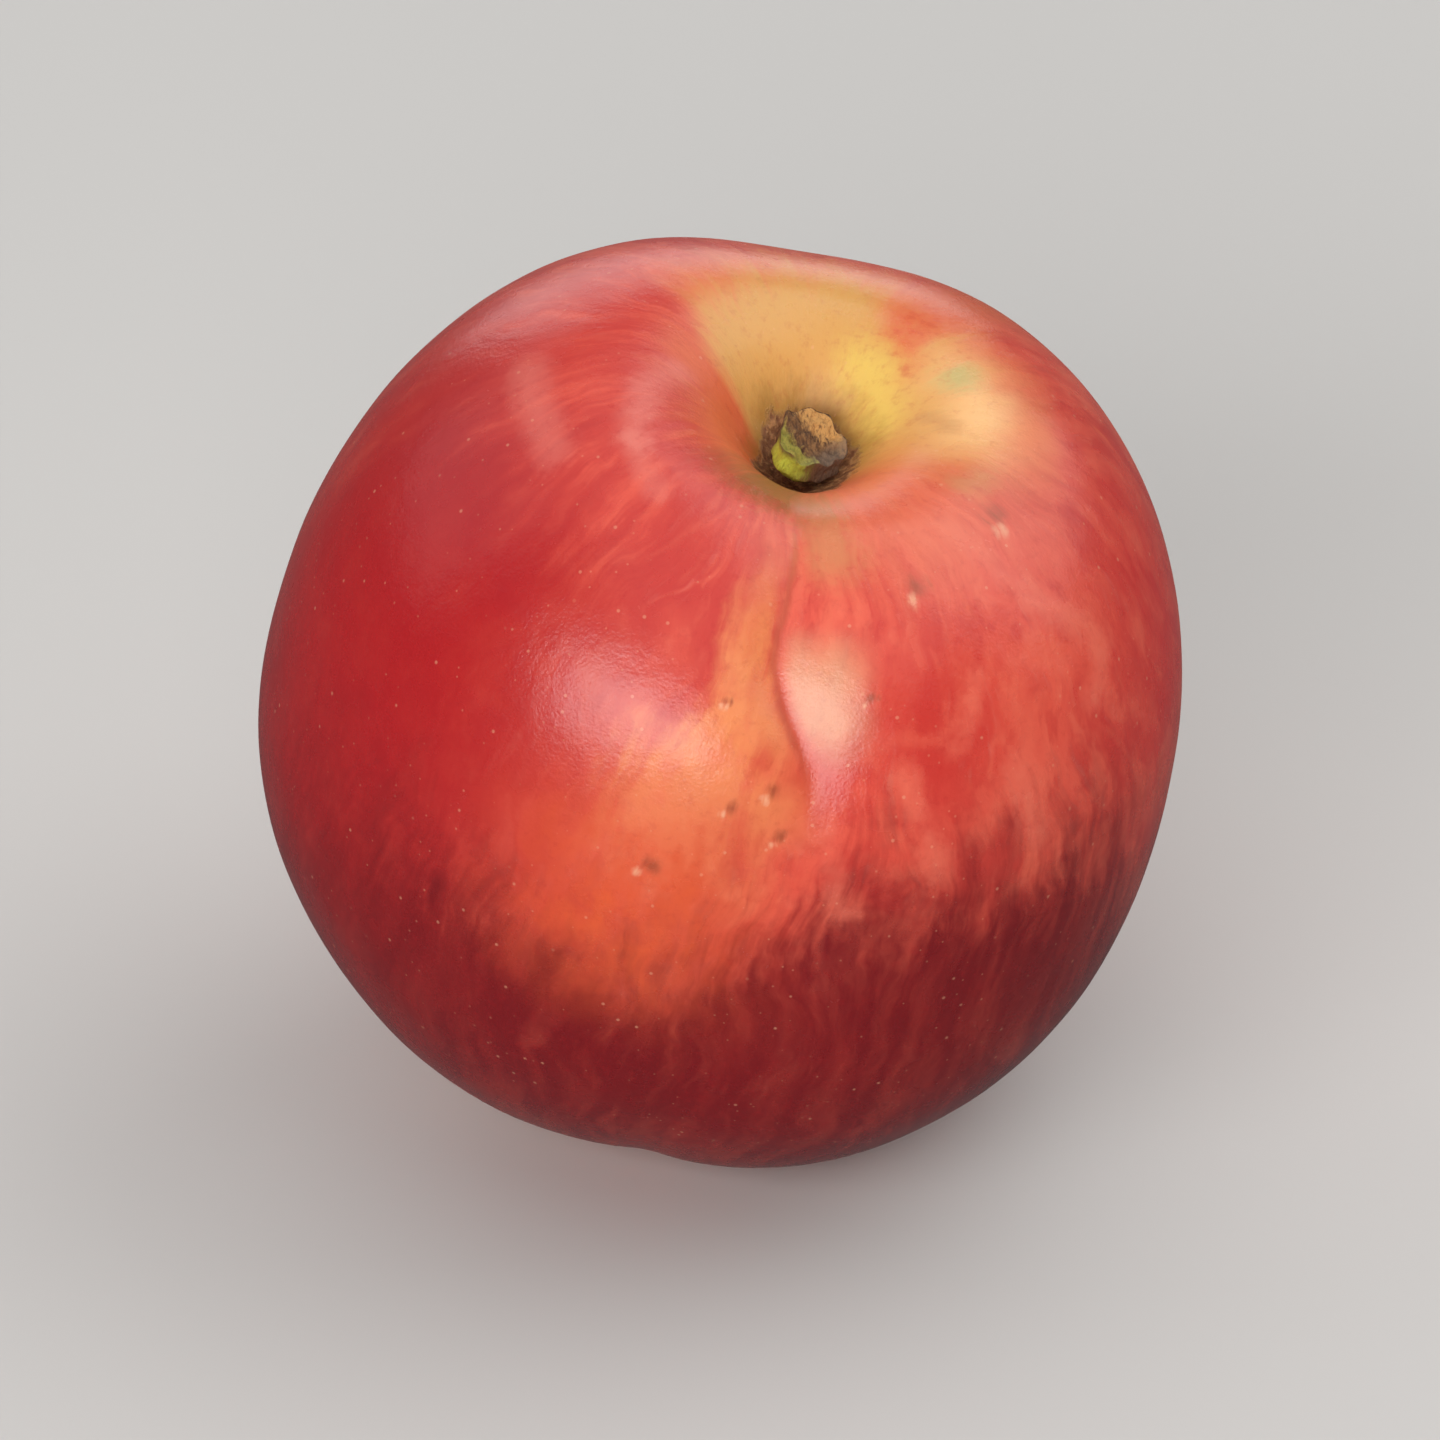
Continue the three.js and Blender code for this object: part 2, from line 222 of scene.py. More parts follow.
def fruit_mesh():
    share = np.arange(1, FRUIT_ROWS) / FRUIT_ROWS
    rows = math.pi * (share - ROWS_TO_ENDS * np.sin(2 * math.pi * share) / (2 * math.pi))
    columns = -math.pi + 2 * math.pi * np.arange(FRUIT_COLUMNS) / FRUIT_COLUMNS
    polar = np.concatenate([[0.0], np.repeat(rows, FRUIT_COLUMNS), [math.pi]])
    azimuth = np.concatenate([[0.0], np.tile(columns, FRUIT_ROWS - 1), [0.0]])
    way = directions(polar, azimuth)
    radius = skin_radius(polar, azimuth)
    from_axis = body_radius(polar, azimuth) * np.sin(polar)
    sphere = HALF_WIDTH * way
    waves = WAVE_DEPTH * noise_over(sphere, WAVE_LENGTH, 1)
    dents = DENT_DEPTH * noise_over(sphere, DENT_LENGTH, 2)
    relief = (waves + dents) * smoothstep(from_axis, RELIEF_START, RELIEF_FULL)
    in_pit = np.where(polar < math.pi / 2, bump(from_axis, CORK_RADIUS, CORK_STEEPNESS), 0.0)
    cork = CORK_DEPTH * in_pit * (noise_over(sphere, CORK_LENGTH, 3) - 0.5)
    points = way * (radius - relief - cork)[:, None]
    points = points @ np.array(LEAN).T + PLACE
    points[:, 2] = pressed(points[:, 2])
    mesh = closed_mesh("nectarine_skin", points, FRUIT_ROWS - 1, FRUIT_COLUMNS)
    put_attribute(mesh, "way", way)
    put_attribute(mesh, "from_axis", from_axis)
    return mesh


def put_attribute(mesh, name, values):
    values = np.asarray(values, np.float32)
    if values.ndim == 2:
        attribute = mesh.attributes.new(name, "FLOAT_VECTOR", "POINT")
        attribute.data.foreach_set("vector", values.ravel())
    else:
        attribute = mesh.attributes.new(name, "FLOAT", "POINT")
        attribute.data.foreach_set("value", values)


def add_piece(name, mesh, material):
    piece = bpy.data.objects.new(name, mesh)
    bpy.context.scene.collection.objects.link(piece)
    mesh.materials.append(material)
    return piece


# --- A small language for shader graphs -------------------------------------------------------
class Signal:
    """A number or colour that varies over a surface: one output socket of a shader node."""

    tree = None

    def __init__(self, socket):
        self.socket = socket

    def __add__(self, other):
        return maths("ADD", self, other)

    def __sub__(self, other):
        return maths("SUBTRACT", self, other)

    def __rsub__(self, other):
        return maths("SUBTRACT", other, self)

    def __mul__(self, other):
        return maths("MULTIPLY", self, other)

    def __neg__(self):
        return maths("MULTIPLY", self, -1.0)

    __radd__ = __add__
    __rmul__ = __mul__


def plug(socket, value):
    """Links a signal to a node's input, or sets the input to a plain value."""
    if isinstance(value, Signal):
        Signal.tree.links.new(value.socket, socket)
    else:
        socket.default_value = value


def maths(operation, *values):
    node = Signal.tree.nodes.new("ShaderNodeMath")
    node.operation = operation
    for socket, value in zip(node.inputs, values):
        plug(socket, value)
    return Signal(node.outputs[0])


def vector_maths(operation, *values, output="Vector"):
    node = Signal.tree.nodes.new("ShaderNodeVectorMath")
    node.operation = operation
    for socket, value in zip(node.inputs, values):
        plug(socket, value)
    return Signal(node.outputs[output])


def attribute(name, output="Vector"):
    node = Signal.tree.nodes.new("ShaderNodeAttribute")
    node.attribute_name = name
    return Signal(node.outputs[output])


def split(vector):
    node = Signal.tree.nodes.new("ShaderNodeSeparateXYZ")
    plug(node.inputs[0], vector)
    return [Signal(socket) for socket in node.outputs]


def join(x, y, z):
    node = Signal.tree.nodes.new("ShaderNodeCombineXYZ")
    for socket, value in zip(node.inputs, (x, y, z)):
        plug(socket, value)
    return Signal(node.outputs[0])


def ramp(value, low, high, start=0.0, end=1.0):
    """Goes smoothly from start, where value is low, to end, where it is high."""
    node = Signal.tree.nodes.new("ShaderNodeMapRange")
    node.interpolation_type = "SMOOTHSTEP"
    sockets = {"Value": value, "From Min": low, "From Max": high, "To Min": start, "To Max": end}
    for name, number in sockets.items():
        plug(node.inputs[name], number)
    return Signal(node.outputs["Result"])


def swing(noise_signal, amount):
    """Noise between 0 and 1 made to swing by half the amount to each side of 0."""
    return (noise_signal - 0.5) * amount


def bell(value, centre, half_width):
    """1 where value is at the centre, 0 from half_width away on."""
    return ramp(maths("ABSOLUTE", value - centre), 0.0, half_width, 1.0, 0.0)


def grain(vector, scale, detail=2.0, roughness=0.5, distortion=0.0, output="Factor"):
    node = Signal.tree.nodes.new("ShaderNodeTexNoise")
    plug(node.inputs["Vector"], vector)
    node.inputs["Scale"].default_value = scale
    node.inputs["Detail"].default_value = detail
    node.inputs["Roughness"].default_value = roughness
    node.inputs["Distortion"].default_value = distortion
    return Signal(node.outputs[0 if output == "Factor" else 1])


def cells(vector, scale, randomness=1.0):
    """Distance to the nearest of scattered points, and a random colour for each of them."""
    node = Signal.tree.nodes.new("ShaderNodeTexVoronoi")
    plug(node.inputs["Vector"], vector)
    node.inputs["Scale"].default_value = scale
    node.inputs["Randomness"].default_value = randomness
    return Signal(node.outputs["Distance"]), Signal(node.outputs["Color"])


def colour(text):
    """A colour from its #rrggbb text, as the linear numbers that a shader takes."""
    shares = [int(text[i : i + 2], 16) / 255 for i in (1, 3, 5)]
    return [s / 12.92 if s <= 0.04045 else ((s + 0.055) / 1.055) ** 2.4 for s in shares] + [1.0]


def blend_colours(share, under, over):
    node = Signal.tree.nodes.new("ShaderNodeMix")
    node.data_type = "RGBA"
    node.clamp_factor = True
    plug(node.inputs[0], share)
    plug(node.inputs[6], under if isinstance(under, Signal) else colour(under))
    plug(node.inputs[7], over if isinstance(over, Signal) else colour(over))
    return Signal(node.outputs[2])


def new_material(name):
    material = bpy.data.materials.new(name)
    material.use_nodes = True
    Signal.tree = material.node_tree
    return material, material.node_tree.nodes["Principled BSDF"]


def raise_relief(shader, layers):
    """Bumps the surface by each (height signal, depth in mm) in turn."""
    normal = None
    for height, depth in layers:
        node = Signal.tree.nodes.new("ShaderNodeBump")
        node.inputs["Strength"].default_value = 1.0
        node.inputs["Distance"].default_value = depth * MM
        plug(node.inputs["Height"], height)
        if normal is not None:
            plug(node.inputs["Normal"], normal)
        normal = Signal(node.outputs["Normal"])
    plug(shader.inputs["Normal"], normal)


# --- The skin's colours -----------------------------------------------------------------------
SALMON = "#e25643"
RED = "#cb372f"
CORAL = "#ec6a51"
PALE_CORAL = "#ee745c"
CRIMSON = "#ae181e"
DEEP_CRIMSON_AND_SHADE = "#7c1017"
PINK = "#ee8a7a"
RIM_RED = "#cc2a2c"
GLOW = "#e05a32"
SEAM_ORANGE = "#ef8d58"
CREASE_RED_AND_SHADE = "#b2482c"
PALE_BANK_AND_HIGHLIGHT = "#e0a078"
STAR_ORANGE = "#e8743f"
STAR_RED = "#e0663a"
STAR_RIM = "#ea8a56"
NEAR_RIM = "#ec8058"
GROUND_ORANGE = "#ea8048"
GROUND_YELLOW = "#dea255"
BRIGHT_YELLOW = "#e8c05c"
CREAM = "#fac080"
GREEN_TINGE = "#c6b673"
TAN = "#cc9058"
RUSSET = "#a2492f"
SPECK = "#f0b08c"
OCHRE = "#a9762e"
STAIN = "#94642e"
CORK = "#84502c"
CORK_PALE = "#b88050"


class SkinPlace:
    """Where a point of the skin is, in the fruit's own directions, as signals for the masks.

    true_polar and true_azimuth are its exact angles. polar and azimuth sway a little with noise,
    so the edges of what they place are uneven.
    """

    def __init__(self):
        self.way = attribute("way")
        self.from_axis = attribute("from_axis", "Fac")
        x, y, z = split(self.way)
        self.true_polar = maths("ARCCOSINE", z) * math.degrees(1)
        self.true_azimuth = maths("ARCTAN2", x, -y) * math.degrees(1)
        self.round_x, self.round_y, _ = split(vector_maths("NORMALIZE", join(x, y, 0.0)))
        self.upper_half = ramp(z, 0.0, 0.1)
        self.mottle = grain(self.way, 9.0, 4.0, 0.6)
        self.clouds = grain(self.way, 2.4, 3.0, 0.55)
        self.stipple = grain(self.way, 46.0, 3.0, 0.7)
        sway = vector_maths("SUBTRACT", grain(self.way, 3.2, 3.0, output="Color"), (0.5, 0.5, 0.5))
        swayed = vector_maths("MULTIPLY_ADD", sway, (0.2, 0.2, 0.2), self.way)
        sx, sy, sz = split(vector_maths("NORMALIZE", swayed))
        self.swayed_round = split(vector_maths("NORMALIZE", join(sx, sy, 0.0)))
        self.polar = maths("ARCCOSINE", sz) * math.degrees(1)
        self.azimuth = maths("ARCTAN2", sx, -sy) * math.degrees(1)
        self.turn_from_seam = maths("ABSOLUTE", self.azimuth)
        self.wobble = swing(self.mottle, 5.0)
        seam_at_bend = SEAM_AZIMUTH_AT_STEM + SEAM_BEND
        bent = ramp(self.true_polar, SEAM_BEND_START, SEAM_BEND_END, SEAM_AZIMUTH_AT_STEM, seam_at_bend)
        back = ramp(self.true_polar, SEAM_RETURN_START, SEAM_RETURN_END, 0.0, seam_at_bend)
        self.from_seam = self.true_azimuth - (bent - back)
        self.streaks = self.meridian_grain(15.0, 3.6, 5.0, 11.0)
        self.fine_streaks = self.meridian_grain(44.0, 7.0, 2.0, 7.0)
        self.broad_streaks = self.meridian_grain(7.0, 1.6, 2.0, 4.0)
        self.blotches = self.meridian_grain(11.0, 8.0, 3.0, 23.0)
        self.patches = self.meridian_grain(5.0, 3.6, 2.0, 41.0)
        self.curls = self.meridian_grain(8.0, 4.0, 0.0, 31.0)

    def meridian_grain(self, across, along, detail, seed):
        """Noise drawn out along the lines from the stem end to the blossom end."""
        drawn = self.polar * (along * math.radians(1))
        round_x, round_y, _ = self.swayed_round
        return grain(join(round_x * across + seed, round_y * across, drawn), 1.0, detail, 0.62)

    def patch(self, polar, half_height, azimuth, half_width):
        """A soft patch round a place on the skin, with its half sizes in degrees."""
        return bell(self.polar, polar, half_height) * bell(self.azimuth, azimuth, half_width)

    def stroke(self, start, end, half_width):
        """A soft line between two places, each given by its polar angle and azimuth."""
        shrink = math.sin(math.radians((start[0] + end[0]) / 2))
        reach_down, reach_round = end[0] - start[0], (end[1] - start[1]) * shrink
        length_squared = reach_down**2 + reach_round**2
        down = self.true_polar - start[0] + self.wobble * 0.5
        across = (self.true_azimuth - start[1]) * shrink + swing(self.streaks, 5.0)
        share = down * (reach_down / length_squared) + across * (reach_round / length_squared)
        share = maths("MINIMUM", maths("MAXIMUM", share, 0.0), 1.0)
        gap = join(down - share * reach_down, across - share * reach_round, 0.0)
        distance = vector_maths("LENGTH", gap, output="Value")
        return ramp(distance + (self.stipple - 0.5) * half_width * 0.6, half_width, 0.0)

    def spot(self, place, radius):
        return self.stroke(place, (place[0] + 0.01, place[1]), radius)


def red_blush(at):
    """Salmon red over the ground colour, thinner towards the back and in streaks."""
    left_cheek = bell(at.azimuth, -85.0, 95.0)
    back = ramp(at.turn_from_seam, 105.0, 165.0) * (1.0 - left_cheek)
    blush = 0.95 + swing(at.clouds, 1.1) + swing(at.mottle, 0.7) + swing(at.broad_streaks, 0.6)
    blush = blush + swing(at.streaks, 1.0) + swing(at.fine_streaks, 0.5) - back * 0.4 + left_cheek * 0.4
    ground = blend_colours(ramp(at.clouds, 0.45, 0.75) * 0.6, GROUND_ORANGE, GROUND_YELLOW)
    skin = blend_colours(ramp(blush, -0.05, 0.75), ground, SALMON)
    glints = ramp(at.fine_streaks, 0.54, 0.74) * ramp(at.blotches, 0.44, 0.62)
    skin = blend_colours(glints * (0.15 + back * 0.45), skin, GROUND_ORANGE)
    return blend_colours(ramp(blush, 0.85, 1.35) * 0.9, skin, RED)


def mottling(at, skin):
    """Blotches, curved pale strokes and stippling over the red, strongest on the right cheek."""
    side = maths("MAXIMUM", ramp(at.azimuth, -50.0, -15.0, 0.3, 1.0), ramp(at.azimuth, -105.0, -135.0))
    skin = blend_colours(ramp(at.patches, 0.5, 0.66) * side * 0.7, skin, RED)
    skin = blend_colours(ramp(at.patches, 0.46, 0.34) * side * 0.4, skin, CORAL)
    skin = blend_colours(ramp(at.blotches, 0.5, 0.66) * side * 0.6, skin, RED)
    skin = blend_colours(ramp(at.blotches, 0.47, 0.33) * side * 0.5, skin, CORAL)
    skin = blend_colours(at.patch(47.0, 19.0, 27.0, 19.0) * 0.95, skin, RED)
    pale = ramp(at.streaks, 0.52, 0.72) * ramp(at.mottle, 0.36, 0.62)
    skin = blend_colours(pale * side * 0.4, skin, CORAL)
    curl = bell(at.curls, 0.5, 0.08) * ramp(at.mottle, 0.42, 0.6)
    skin = blend_colours(curl * side * 0.35, skin, CORAL)
    fine = ramp(at.fine_streaks, 0.55, 0.75) * ramp(at.mottle, 0.42, 0.6)
    return blend_colours(fine * side * 0.2, skin, PINK)


def crimson_cheek(at, skin):
    """Deep crimson on the left cheek, and darker crimson lower down that is partly the skin's own red and
    partly painted shade from below, with soft torn edges.
    """
    torn = swing(at.streaks, 14.0) + swing(at.broad_streaks, 16.0)
    cheek = ramp(at.azimuth + torn, -4.0, -56.0) * ramp(at.azimuth + torn, -126.0, -78.0)
    cheek = cheek * ramp(at.polar + torn, 26.0, 46.0) * ramp(at.polar + torn, 160.0, 118.0)
    # Lower down the skin turns darker crimson: partly its own deep red, partly painted shade from below.
    top_of_shaded_low = ramp(at.azimuth, -14.0, 22.0, 69.0, 54.0)
    reach = ramp(at.turn_from_seam, 40.0, 110.0, 26.0, 80.0)
    below = at.polar - top_of_shaded_low + torn + swing(at.fine_streaks, 14.0) + swing(at.mottle, 18.0)
    low = ramp(maths("DIVIDE", below, reach), 0.0, 1.0)
    low = low * ramp(at.turn_from_seam, 160.0, 80.0) * ramp(at.polar, 158.0, 116.0)
    low = low * ramp(at.azimuth, -75.0, -20.0, 0.7, 1.0)
    skin = blend_colours(cheek * (0.95 + swing(at.mottle, 0.5)), skin, CRIMSON)
    skin = blend_colours(low * (0.95 + swing(at.streaks, 0.8)), skin, DEEP_CRIMSON_AND_SHADE)
    right_rim = at.patch(56.0, 34.0, 84.0, 36.0) * (0.9 + swing(at.blotches, 1.6))
    return blend_colours(right_rim * 0.75, skin, RIM_RED)


# Pale curved strokes on the right cheek: where each starts and ends, and its half width.
CHEEK_STROKES = [
    ((26.0, 43.0), (37.0, 52.0), 3.0), ((37.0, 52.0), (46.0, 62.5), 3.6), ((46.0, 62.5), (51.0, 56.0), 3.2),
    ((43.0, 34.0), (50.0, 29.0), 2.6), ((54.0, 38.0), (64.0, 41.0), 2.8),
    ((53.0, 21.0), (65.0, 26.0), 3.0), ((60.0, 10.0), (70.0, 14.0), 2.8),
]


def pale_strokes(at, skin):
    """Soft curved coral strokes on the right cheek."""
    uneven = 0.42 + swing(at.mottle, 1.4)
    for start, end, half_width in CHEEK_STROKES:
        skin = blend_colours(at.stroke(start, end, half_width) * uneven, skin, PALE_CORAL)
    return skin


def seam_band(at, skin):
    """An orange band along the left side of the seam, over an orange-red glow lower down."""
    glow = at.patch(74.0, 24.0, -13.0, 27.0)
    skin = blend_colours(glow * (0.7 + swing(at.blotches, 2.4)), skin, GLOW)
    half_width = ramp(at.polar, 34.0, 64.0, 4.5, 12.0)
    across = maths("DIVIDE", maths("ABSOLUTE", at.azimuth + 9.5), half_width)
    across = across + swing(at.streaks, 2.0) + swing(at.mottle, 1.6)
    band = ramp(across, 1.4, 0.2) * ramp(at.polar, 22.0, 42.0)
    band = band * ramp(at.polar + swing(at.blotches, 30.0), 76.0, 52.0)
    right_limit = ramp(at.polar, 50.0, 58.0, 1.0, 8.0)
    band = band * ramp(at.from_seam + swing(at.mottle, 3.0) - right_limit, 1.5, -2.0)
    skin = blend_colours(band * (0.85 + swing(at.blotches, 1.6)), skin, SEAM_ORANGE)
    skin = blend_colours(at.patch(57.0, 7.0, 3.0, 9.0) * 0.6, skin, SEAM_ORANGE)
    beside = bell(at.from_seam, -3.5, 5.5) * bell(at.true_polar, 48.0, 7.0)
    skin = blend_colours(beside * 0.9, skin, SEAM_ORANGE)

    # The right bank of the crease is pale, partly the skin's own paler colour and partly a painted
    # highlight, and the crease itself a thin darker line, partly the suture's redder colour and partly
    # painted shade in the crease.
    bank = ramp(at.from_seam + at.wobble * 0.4, 0.0, 4.0) * ramp(at.true_azimuth + at.wobble, 18.0, 9.0)
    bank = bank * ramp(at.true_polar + at.wobble, 34.0, 42.0) * ramp(at.true_polar + at.wobble, 53.0, 47.0)
    skin = blend_colours(bank * 0.75, skin, PALE_BANK_AND_HIGHLIGHT)
    crease = bell(at.from_seam + at.wobble * 0.5, 0.0, 1.7)
    crease = crease * ramp(at.true_polar, 20.0, 28.0) * ramp(at.true_polar, 58.0, 50.0)
    return blend_colours(crease * 0.6, skin, CREASE_RED_AND_SHADE)


# Pink strokes on the left shoulder: where each starts and ends, its half width and its strength. The first
# is a pale pink streak; the two along the hollow's left lip are a painted highlight on its rounded rim.
PINK_STREAK_AND_LIP_HIGHLIGHTS = [
    ((35.0, -90.0), (34.0, -66.0), 4.2, 0.32),
    ((18.0, -95.0), (25.5, -58.0), 3.4, 0.42),
    ((25.5, -58.0), (28.0, -42.0), 2.6, 0.3),
]
# Tan strokes round the hollow: where each starts and ends, and its half width.
TAN_STROKES = [
    ((15.5, 100.0), (18.0, 90.0), 2.0),
    ((23.0, 68.0), (22.0, 60.0), 3.4),
    ((18.0, 6.0), (26.5, 8.0), 5.5),
]


def star(at, skin):
    """The yellow star round the stem hollow, with its rays on the far side and the right."""
    rays = grain(join(at.round_x * 6.0, at.round_y * 6.0, at.true_polar * 0.03), 1.0, 4.0, 0.6)
    ragged = swing(rays, 10.0) + swing(at.streaks, 8.0)
    skin = blend_colours(ramp(at.true_polar + ragged, 22.0, 12.0) * 0.75, skin, STAR_ORANGE)
    near_right = bell(at.azimuth, 30.0, 60.0) * ramp(at.true_polar + ragged * 1.5, 38.0, 24.0)
    skin = blend_colours(near_right * 0.5, skin, NEAR_RIM)
    # A pale pink streak on the left shoulder, and a painted highlight along the hollow's rounded left lip.
    for start, end, half_width, strength in PINK_STREAK_AND_LIP_HIGHLIGHTS:
        skin = blend_colours(at.stroke(start, end, half_width) * strength, skin, PINK)

    # The far part has a clean edge on the left, and fades out over the far shoulder.
    edge = ramp(at.true_polar, 13.0, 23.0, 0.0, 13.0) + at.true_azimuth + swing(rays, 10.0)
    left_edge = ramp(edge, -109.0, -124.0)
    right_part = ramp(at.true_azimuth + swing(rays, 14.0), 44.0, 100.0)
    part = maths("MAXIMUM", left_edge, right_part)
    edge_shade = bell(edge, -104.0, 15.0) * ramp(at.true_polar, 25.0, 15.0)
    skin = blend_colours(edge_shade * 0.8, skin, STAR_RED)
    outwards = at.true_polar + ragged - ramp(at.turn_from_seam, 138.0, 172.0, 0.0, 4.0)
    skin = blend_colours(part * ramp(outwards, 33.0, 20.0) * 0.85, skin, STAR_RIM)
    skin = blend_colours(part * ramp(outwards, 25.0, 16.0), skin, GROUND_YELLOW)
    red_ray = bell(at.true_azimuth + swing(rays, 22.0), 145.0, 18.0) * ramp(at.polar, 15.0, 22.0)
    skin = blend_colours(red_ray * (0.85 + swing(at.stipple, 1.2)), skin, STAR_RED)
    foot_of_ray = at.stroke((21.5, 152.0), (16.0, 130.0), 3.6)
    skin = blend_colours(foot_of_ray * at.stipple, skin, STAR_RED)
    skin = blend_colours(at.stroke((14.0, 152.0), (11.0, 112.0), 5.0), skin, BRIGHT_YELLOW)
    skin = blend_colours(at.patch(27.0, 6.0, 96.0, 26.0) * 0.6, skin, SEAM_ORANGE)
    skin = blend_colours(at.patch(20.5, 8.0, 100.0, 42.0), skin, CREAM)
    skin = blend_colours(at.spot((20.0, 116.0), 4.0) * 0.8, skin, GREEN_TINGE)
    for start, end, half_width in TAN_STROKES:
        skin = blend_colours(at.stroke(start, end, half_width) * 0.5, skin, TAN)
    return skin


def blossom_end(at, skin):
    """The ground colour showing through in streaks round the blossom end, and the dry brown tip."""
    ground = ramp(at.true_polar + swing(at.streaks, 40.0), 140.0, 176.0)
    ground_colour = blend_colours(ramp(at.mottle, 0.4, 0.6), GROUND_ORANGE, GROUND_YELLOW)
    skin = blend_colours(ground * 0.75, skin, ground_colour)
    return blend_colours(ramp(at.true_polar, 176.2, 178.0), skin, CORK)


# Small healed marks: polar angle, azimuth and radius in degrees.
MARKS = [
    (26.5, 58.0, 2.1), (31.0, 27.0, 2.1), (44.0, 15.5, 0.8), (47.0, -8.5, 0.8),
    (55.5, 2.0, 1.3), (58.5, -3.5, 1.3), (61.0, 4.0, 1.1), (68.5, -11.5, 1.4),
]


def marks(at, skin):
    """Small russet marks, each with a pale spot beside it."""
    for polar, azimuth, radius in MARKS:
        skin = blend_colours(at.spot((polar, azimuth), radius * 1.15) * 0.8, skin, RUSSET)
        beside = (polar + radius * 0.9, azimuth - radius)
        skin = blend_colours(at.spot(beside, radius * 0.7) * 0.7, skin, SPECK)
    return skin


def corky_pit(at, skin, crumbs):
    """Brown cork in the bottom of the hollow, an ochre edge round it and a stain over the near lip."""
    ragged = swing(crumbs, 1.6) + swing(grain(at.way, 14.0, 2.0), 1.6)
    stain = bell(at.true_azimuth + swing(at.streaks, 36.0), -17.0, 40.0) * at.upper_half
    stain = stain * ramp(at.from_axis + ragged + swing(at.stipple, 4.0), 15.0, 10.5)
    skin = blend_colours(stain * 0.9, skin, STAIN)
    edge = at.from_axis + ragged + bell(at.true_azimuth, -100.0, 50.0) * 2.1
    cork = ramp(edge, 5.9, 5.2) * at.upper_half
    ochre = ramp(edge, 8.2, 5.6) * at.upper_half * ramp(at.turn_from_seam, 60.0, 110.0, 0.25, 1.0)
    skin = blend_colours(ochre * 0.8, skin, OCHRE)
    brown = blend_colours(ramp(crumbs, 0.42, 0.66), CORK, CORK_PALE)
    return blend_colours(cork, skin, brown), cork


def lenticels(at, skin, cork):
    """Small pale dots in two sizes, and a fine stippling of darker red between them."""
    skin = blend_colours(ramp(at.stipple, 0.52, 0.72) * (1.0 - cork) * 0.16, skin, CRIMSON)
    for scale, radius, share, strength in ((24.0, 0.12, 0.45, 0.3), (44.0, 0.14, 0.3, 0.2)):
        distance, random = cells(at.way, scale)
        chance, _, _ = split(random)
        dots = ramp(distance, radius, radius * 0.5) * ramp(chance, 1.0 - share, 1.06 - share) * (1.0 - cork)
        skin = blend_colours(dots * strength, skin, SPECK)
    return skin


def skin_material():
    material, shader = new_material("nectarine_skin")
    at = SkinPlace()
    crumbs = grain(at.way, 60.0, 4.0, 0.65)
    skin = red_blush(at)
    skin = mottling(at, skin)
    skin = crimson_cheek(at, skin)
    skin = pale_strokes(at, skin)
    skin = seam_band(at, skin)
    skin = star(at, skin)
    skin = blossom_end(at, skin)
    skin = marks(at, skin)
    skin, cork = corky_pit(at, skin, crumbs)
    skin = lenticels(at, skin, cork)

    plug(shader.inputs["Base Color"], skin)
    hollow = ramp(at.from_axis, 12.0, 6.0) * at.upper_half
    plug(shader.inputs["Roughness"], 0.27 + swing(at.mottle, 0.1) + hollow * 0.25 + cork * 0.2)
    shader.inputs["Subsurface Weight"].default_value = 0.1
    shader.inputs["Subsurface Radius"].default_value = (1.0, 0.35, 0.18)
    shader.inputs["Subsurface Scale"].default_value = 2.0 * MM
    shader.inputs["IOR"].default_value = 1.5
    pores = grain(at.way, 160.0, 2.0, 0.5)
    raise_relief(shader, [(at.streaks * 0.3 + at.mottle, 0.10), (pores, 0.02), (crumbs * cork, 0.5)])
    return material


# --- The stalk stub ---------------------------------------------------------------------------
STUB_GAP = 0.75
STUB_HEIGHT = 3.4
STUB_FOOT_RADIUS = 1.3
STUB_COLLAR_RADIUS, STUB_COLLAR_HEIGHT = 2.6, 1.4
STUB_WAIST_RADIUS = 2.45
STUB_END_RADIUS = 2.6
STUB_OFFSET_X, STUB_OFFSET_Y = 0.2, -0.2
STUB_TILT = 7.0
BREAK_SLANT = 1.0
BREAK_TEAR = 0.3
BREAK_DISH = 0.55
BARK_RIDGE_SHARE = 0.05
# Relief of the bark and of the broken end: how far it stands out or up in all, and its length.
BARK_FIBRE_RELIEF, BARK_FIBRE_LENGTH = 0.35, 0.5
SPLINTER_RELIEF, SPLINTER_LENGTH = 0.7, 0.55
STUB_ROWS, STUB_COLUMNS, BREAK_ROWS = 40, 120, 24
STUB_DARK = "#5a3a24"
STUB_BARK = "#84603a"
STUB_WOOD = "#94683e"
STUB_PALE_WOOD = "#dea45e"
STUB_OLIVE = "#dae450"
SLATE = "#7a6656"


def bark_factor(angle):
    ridges = np.cos(3 * angle + 0.6) + 0.7 * np.cos(5 * angle) + 0.5 * np.cos(9 * angle + 2)
    return 1 + BARK_RIDGE_SHARE * ridges


def torn_edge(angle):
    tears = BREAK_TEAR * (np.sin(5 * angle + 1) + np.sin(8 * angle))
    return STUB_HEIGHT + (BREAK_SLANT * np.sin(angle) + tears) / 2


